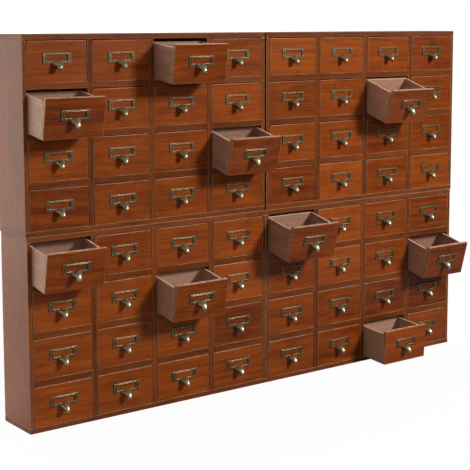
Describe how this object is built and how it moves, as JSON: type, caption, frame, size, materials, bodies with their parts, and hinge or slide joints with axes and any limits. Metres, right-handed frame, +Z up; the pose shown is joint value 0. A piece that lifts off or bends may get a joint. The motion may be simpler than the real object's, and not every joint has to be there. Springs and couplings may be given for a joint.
{
  "type": "spice drawer cabinet",
  "caption": "Tabletop spice cabinet: stacked shallow wooden chests full of small drawers with brass label frames and finger pulls, some drawers drawn out and hanging.",
  "frame": {"origin": "Middle of the footprint of the two lower chests, on the table, where their bottom panels rest.", "axes": "+X runs along the width to the viewer's right when facing the drawers, the drawers open towards -Y, +Z is up."},
  "size_m": [1.004, 0.175, 0.668],
  "materials": {
    "case_wood": "reddish brown stain with satin lacquer",
    "back_wood": "thin board, matt",
    "drawer_wood": "reddish brown stain with satin lacquer",
    "brass": "aged brass"
  },
  "bodies": {
    "chests": {"side_panels": "case_wood", "top_panels": "case_wood", "bottom_panels": "case_wood", "back_panels": "back_wood", "shelves": "case_wood", "uprights": "case_wood"},
    "wire_r1c3": {"rub_wire_r1c3": "brass"},
    "drawer_r1c3": {"drawer_r1c3": "drawer_wood"},
    "wire_r2c1": {"rub_wire_r2c1": "brass"},
    "drawer_r2c1": {"drawer_r2c1": "drawer_wood"},
    "wire_r2c7": {"rub_wire_r2c7": "brass"},
    "drawer_r2c7": {"drawer_r2c7": "drawer_wood"},
    "wire_r3c4": {"rub_wire_r3c4": "brass"},
    "drawer_r3c4": {"drawer_r3c4": "drawer_wood"},
    "wire_r5c1": {"rub_wire_r5c1": "brass"},
    "drawer_r5c1": {"drawer_r5c1": "drawer_wood"},
    "wire_r5c5": {"rub_wire_r5c5": "brass"},
    "drawer_r5c5": {"drawer_r5c5": "drawer_wood"},
    "wire_r6c3": {"rub_wire_r6c3": "brass"},
    "drawer_r6c3": {"drawer_r6c3": "drawer_wood"},
    "wire_r6c8": {"rub_wire_r6c8": "brass"},
    "drawer_r6c8": {"drawer_r6c8": "drawer_wood"},
    "wire_r8c7": {"rub_wire_r8c7": "brass"},
    "drawer_r8c7": {"drawer_r8c7": "drawer_wood"},
    "drawer_r1c1": {"drawer_r1c1": "drawer_wood"},
    "drawer_r1c2": {"drawer_r1c2": "drawer_wood"},
    "drawer_r1c4": {"drawer_r1c4": "drawer_wood"},
    "drawer_r1c5": {"drawer_r1c5": "drawer_wood"},
    "drawer_r1c6": {"drawer_r1c6": "drawer_wood"},
    "drawer_r1c7": {"drawer_r1c7": "drawer_wood"},
    "drawer_r1c8": {"drawer_r1c8": "drawer_wood"},
    "drawer_r2c2": {"drawer_r2c2": "drawer_wood"},
    "drawer_r2c3": {"drawer_r2c3": "drawer_wood"},
    "drawer_r2c4": {"drawer_r2c4": "drawer_wood"},
    "drawers_r2c5c6": {"drawers_r2c5c6": "drawer_wood"},
    "drawer_r2c8": {"drawer_r2c8": "drawer_wood"},
    "drawers_r3c1c2": {"drawers_r3c1c2": "drawer_wood"},
    "drawer_r3c3": {"drawer_r3c3": "drawer_wood"},
    "drawers_r3c5c6": {"drawers_r3c5c6": "drawer_wood"},
    "drawers_r3c7c8": {"drawers_r3c7c8": "drawer_wood"},
    "drawers_r4c1c2": {"drawers_r4c1c2": "drawer_wood"},
    "drawers_r4c3c4": {"drawers_r4c3c4": "drawer_wood"},
    "drawers_r4c5c6": {"drawers_r4c5c6": "drawer_wood"},
    "drawers_r4c7c8": {"drawers_r4c7c8": "drawer_wood"},
    "drawer_r5c2": {"drawer_r5c2": "drawer_wood"},
    "drawers_r5c3c4": {"drawers_r5c3c4": "drawer_wood"},
    "drawer_r5c6": {"drawer_r5c6": "drawer_wood"},
    "drawers_r5c7c8": {"drawers_r5c7c8": "drawer_wood"},
    "drawers_r6c1c2": {"drawers_r6c1c2": "drawer_wood"},
    "drawer_r6c4": {"drawer_r6c4": "drawer_wood"},
    "drawers_r6c5c6": {"drawers_r6c5c6": "drawer_wood"},
    "drawer_r6c7": {"drawer_r6c7": "drawer_wood"},
    "drawers_r7c1c2": {"drawers_r7c1c2": "drawer_wood"},
    "drawers_r7c3c4": {"drawers_r7c3c4": "drawer_wood"},
    "drawers_r7c5c6": {"drawers_r7c5c6": "drawer_wood"},
    "drawers_r7c7c8": {"drawers_r7c7c8": "drawer_wood"},
    "drawers_r8c1c2": {"drawers_r8c1c2": "drawer_wood"},
    "drawers_r8c3c4": {"drawers_r8c3c4": "drawer_wood"},
    "drawers_r8c5c6": {"drawers_r8c5c6": "drawer_wood"},
    "drawer_r8c8": {"drawer_r8c8": "drawer_wood"}
  },
  "joints": [
    {"name": "tip_r1c3", "type": "hinge", "parent": "chests", "child": "wire_r1c3", "pos_m": [-0.19012, -0.04645, 0.5872], "axis": [1, 0, 0], "range_deg": [-7.32, 1.17]},
    {"name": "slide_r1c3", "type": "slide", "parent": "wire_r1c3", "child": "drawer_r1c3", "axis": [0, -0.9919, -0.1271], "range_m": [-0.057, 0.009]},
    {"name": "tip_r2c1", "type": "hinge", "parent": "chests", "child": "wire_r2c1", "pos_m": [-0.43762, -0.04645, 0.50545], "axis": [1, 0, 0], "range_deg": [-9.12, 2.47]},
    {"name": "slide_r2c1", "type": "slide", "parent": "wire_r2c1", "child": "drawer_r2c1", "axis": [0, -0.9874, -0.1582], "range_m": [-0.052, 0.014]},
    {"name": "tip_r2c7", "type": "hinge", "parent": "chests", "child": "wire_r2c7", "pos_m": [0.31388, -0.04645, 0.50545], "axis": [1, 0, 0], "range_deg": [-18.52, 0.51]},
    {"name": "slide_r2c7", "type": "slide", "parent": "wire_r2c7", "child": "drawer_r2c7", "axis": [0, -0.9483, -0.3173], "range_m": [-0.0565, 0.0015]},
    {"name": "tip_r3c4", "type": "hinge", "parent": "chests", "child": "wire_r3c4", "pos_m": [-0.06638, -0.04645, 0.4237], "axis": [1, 0, 0], "range_deg": [-14.52, 3.8]},
    {"name": "slide_r3c4", "type": "slide", "parent": "wire_r3c4", "child": "drawer_r3c4", "axis": [0, -0.9681, -0.2504], "range_m": [-0.0468, 0.0122]},
    {"name": "tip_r5c1", "type": "hinge", "parent": "chests", "child": "wire_r5c1", "pos_m": [-0.43583, -0.04645, 0.2532], "axis": [1, 0, 0], "range_deg": [-11.12, 4.74]},
    {"name": "slide_r5c1", "type": "slide", "parent": "wire_r5c1", "child": "drawer_r5c1", "axis": [0, -0.9813, -0.1925], "range_m": [-0.0435, 0.0185]},
    {"name": "tip_r5c5", "type": "hinge", "parent": "chests", "child": "wire_r5c5", "pos_m": [0.06457, -0.04645, 0.2532], "axis": [1, 0, 0], "range_deg": [-12.42, 1.05]},
    {"name": "slide_r5c5", "type": "slide", "parent": "wire_r5c5", "child": "drawer_r5c5", "axis": [0, -0.9767, -0.2147], "range_m": [-0.06, 0.005]},
    {"name": "tip_r6c3", "type": "hinge", "parent": "chests", "child": "wire_r6c3", "pos_m": [-0.18832, -0.04645, 0.17145], "axis": [1, 0, 0], "range_deg": [-11.02, 2.96]},
    {"name": "slide_r6c3", "type": "slide", "parent": "wire_r6c3", "child": "drawer_r6c3", "axis": [0, -0.9816, -0.1908], "range_m": [-0.0505, 0.0135]},
    {"name": "tip_r6c8", "type": "hinge", "parent": "chests", "child": "wire_r6c8", "pos_m": [0.43583, -0.04645, 0.17145], "axis": [1, 0, 0], "range_deg": [-14.52, 4.38]},
    {"name": "slide_r6c8", "type": "slide", "parent": "wire_r6c8", "child": "drawer_r6c8", "axis": [0, -0.9681, -0.2504], "range_m": [-0.0446, 0.0134]},
    {"name": "tip_r8c7", "type": "hinge", "parent": "chests", "child": "wire_r8c7", "pos_m": [0.31207, -0.04645, 0.00795], "axis": [1, 0, 0], "range_deg": [-4.72, 0.49]},
    {"name": "slide_r8c7", "type": "slide", "parent": "wire_r8c7", "child": "drawer_r8c7", "axis": [0, -0.9966, -0.0819], "range_m": [-0.06, 0.006]},
    {"name": "slide_r1c1", "type": "slide", "parent": "chests", "child": "drawer_r1c1", "axis": [0, -1, 0], "range_m": [0, 0.068]},
    {"name": "slide_r1c2", "type": "slide", "parent": "chests", "child": "drawer_r1c2", "axis": [0, -1, 0], "range_m": [0, 0.068]},
    {"name": "slide_r1c4", "type": "slide", "parent": "chests", "child": "drawer_r1c4", "axis": [0, -1, 0], "range_m": [0, 0.068]},
    {"name": "slide_r1c5", "type": "slide", "parent": "chests", "child": "drawer_r1c5", "axis": [0, -1, 0], "range_m": [0, 0.068]},
    {"name": "slide_r1c6", "type": "slide", "parent": "chests", "child": "drawer_r1c6", "axis": [0, -1, 0], "range_m": [0, 0.068]},
    {"name": "slide_r1c7", "type": "slide", "parent": "chests", "child": "drawer_r1c7", "axis": [0, -1, 0], "range_m": [0, 0.068]},
    {"name": "slide_r1c8", "type": "slide", "parent": "chests", "child": "drawer_r1c8", "axis": [0, -1, 0], "range_m": [0, 0.068]},
    {"name": "slide_r2c2", "type": "slide", "parent": "chests", "child": "drawer_r2c2", "axis": [0, -1, 0], "range_m": [0, 0.068]},
    {"name": "slide_r2c3", "type": "slide", "parent": "chests", "child": "drawer_r2c3", "axis": [0, -1, 0], "range_m": [0, 0.068]},
    {"name": "slide_r2c4", "type": "slide", "parent": "chests", "child": "drawer_r2c4", "axis": [0, -1, 0], "range_m": [0, 0.068]},
    {"name": "slide_r2c5c6", "type": "slide", "parent": "chests", "child": "drawers_r2c5c6", "axis": [0, -1, 0], "range_m": [0, 0.068]},
    {"name": "slide_r2c8", "type": "slide", "parent": "chests", "child": "drawer_r2c8", "axis": [0, -1, 0], "range_m": [0, 0.068]},
    {"name": "slide_r3c1c2", "type": "slide", "parent": "chests", "child": "drawers_r3c1c2", "axis": [0, -1, 0], "range_m": [0, 0.06]},
    {"name": "slide_r3c3", "type": "slide", "parent": "chests", "child": "drawer_r3c3", "axis": [0, -1, 0], "range_m": [0, 0.068]},
    {"name": "slide_r3c5c6", "type": "slide", "parent": "chests", "child": "drawers_r3c5c6", "axis": [0, -1, 0], "range_m": [0, 0.068]},
    {"name": "slide_r3c7c8", "type": "slide", "parent": "chests", "child": "drawers_r3c7c8", "axis": [0, -1, 0], "range_m": [0, 0.035]},
    {"name": "slide_r4c1c2", "type": "slide", "parent": "chests", "child": "drawers_r4c1c2", "axis": [0, -1, 0], "range_m": [0, 0.068]},
    {"name": "slide_r4c3c4", "type": "slide", "parent": "chests", "child": "drawers_r4c3c4", "axis": [0, -1, 0], "range_m": [0, 0.037]},
    {"name": "slide_r4c5c6", "type": "slide", "parent": "chests", "child": "drawers_r4c5c6", "axis": [0, -1, 0], "range_m": [0, 0.068]},
    {"name": "slide_r4c7c8", "type": "slide", "parent": "chests", "child": "drawers_r4c7c8", "axis": [0, -1, 0], "range_m": [0, 0.068]},
    {"name": "slide_r5c2", "type": "slide", "parent": "chests", "child": "drawer_r5c2", "axis": [0, -1, 0], "range_m": [0, 0.068]},
    {"name": "slide_r5c3c4", "type": "slide", "parent": "chests", "child": "drawers_r5c3c4", "axis": [0, -1, 0], "range_m": [0, 0.068]},
    {"name": "slide_r5c6", "type": "slide", "parent": "chests", "child": "drawer_r5c6", "axis": [0, -1, 0], "range_m": [0, 0.068]},
    {"name": "slide_r5c7c8", "type": "slide", "parent": "chests", "child": "drawers_r5c7c8", "axis": [0, -1, 0], "range_m": [0, 0.068]},
    {"name": "slide_r6c1c2", "type": "slide", "parent": "chests", "child": "drawers_r6c1c2", "axis": [0, -1, 0], "range_m": [0, 0.043]},
    {"name": "slide_r6c4", "type": "slide", "parent": "chests", "child": "drawer_r6c4", "axis": [0, -1, 0], "range_m": [0, 0.068]},
    {"name": "slide_r6c5c6", "type": "slide", "parent": "chests", "child": "drawers_r6c5c6", "axis": [0, -1, 0], "range_m": [0, 0.051]},
    {"name": "slide_r6c7", "type": "slide", "parent": "chests", "child": "drawer_r6c7", "axis": [0, -1, 0], "range_m": [0, 0.068]},
    {"name": "slide_r7c1c2", "type": "slide", "parent": "chests", "child": "drawers_r7c1c2", "axis": [0, -1, 0], "range_m": [0, 0.068]},
    {"name": "slide_r7c3c4", "type": "slide", "parent": "chests", "child": "drawers_r7c3c4", "axis": [0, -1, 0], "range_m": [0, 0.049]},
    {"name": "slide_r7c5c6", "type": "slide", "parent": "chests", "child": "drawers_r7c5c6", "axis": [0, -1, 0], "range_m": [0, 0.068]},
    {"name": "slide_r7c7c8", "type": "slide", "parent": "chests", "child": "drawers_r7c7c8", "axis": [0, -1, 0], "range_m": [0, 0.035]},
    {"name": "slide_r8c1c2", "type": "slide", "parent": "chests", "child": "drawers_r8c1c2", "axis": [0, -1, 0], "range_m": [0, 0.068]},
    {"name": "slide_r8c3c4", "type": "slide", "parent": "chests", "child": "drawers_r8c3c4", "axis": [0, -1, 0], "range_m": [0, 0.068]},
    {"name": "slide_r8c5c6", "type": "slide", "parent": "chests", "child": "drawers_r8c5c6", "axis": [0, -1, 0], "range_m": [0, 0.068]},
    {"name": "slide_r8c8", "type": "slide", "parent": "chests", "child": "drawer_r8c8", "axis": [0, -1, 0], "range_m": [0, 0.068]}
  ],
  "couplings": [
    {"joint": "tip_r1c3", "follows": "slide_r1c3", "rad_per_m": 2.2352},
    {"joint": "tip_r2c1", "follows": "slide_r2c1", "rad_per_m": 3.0543},
    {"joint": "tip_r2c7", "follows": "slide_r2c7", "rad_per_m": 5.7148},
    {"joint": "tip_r3c4", "follows": "slide_r3c4", "rad_per_m": 5.4075},
    {"joint": "tip_r5c1", "follows": "slide_r5c1", "rad_per_m": 4.4536},
    {"joint": "tip_r5c5", "follows": "slide_r5c5", "rad_per_m": 3.607},
    {"joint": "tip_r6c3", "follows": "slide_r6c3", "rad_per_m": 3.8017},
    {"joint": "tip_r6c8", "follows": "slide_r6c8", "rad_per_m": 5.6743},
    {"joint": "tip_r8c7", "follows": "slide_r8c7", "rad_per_m": 1.3672}
  ]
}
